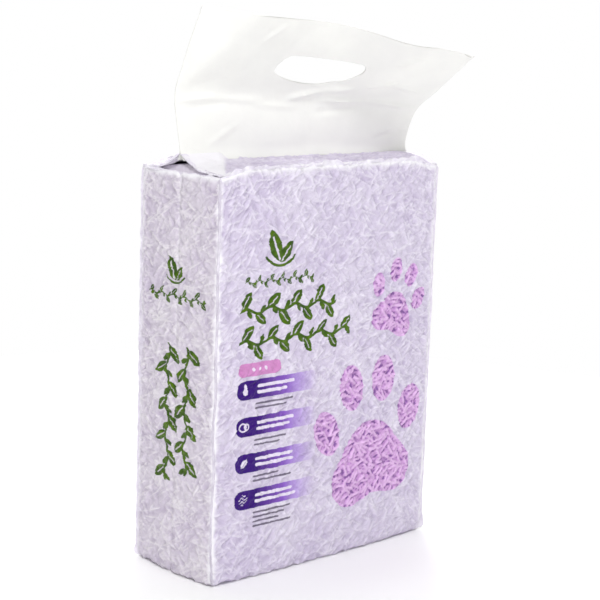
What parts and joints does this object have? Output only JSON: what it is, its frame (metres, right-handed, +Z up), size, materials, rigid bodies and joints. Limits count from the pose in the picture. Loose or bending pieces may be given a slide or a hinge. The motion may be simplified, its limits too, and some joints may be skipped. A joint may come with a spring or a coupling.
{
  "type": "cat litter bag",
  "caption": "Sealed side-gusseted film bag, drawn tight over litter pellets, with a low roof and a bent header sheet that has a die-cut hand hole.",
  "frame": {"origin": "centre of the brick's base, where the bag stands on a shelf", "axes": "+Z up through the brick to the header, +X along the wide printed face, and the printed front faces -Y"},
  "size_m": [0.237, 0.1369, 0.4311],
  "materials": {
    "film": "milky lavender film drawn over pellets, satin gloss, printed in green and purple",
    "header_film": "two layers of milky white film, satin gloss, softly creased",
    "litter_pellets": "pressed plant fibre pellets, matte lavender"
  },
  "bodies": {
    "root": {"litter_bag": "film"}
  },
  "joints": []
}
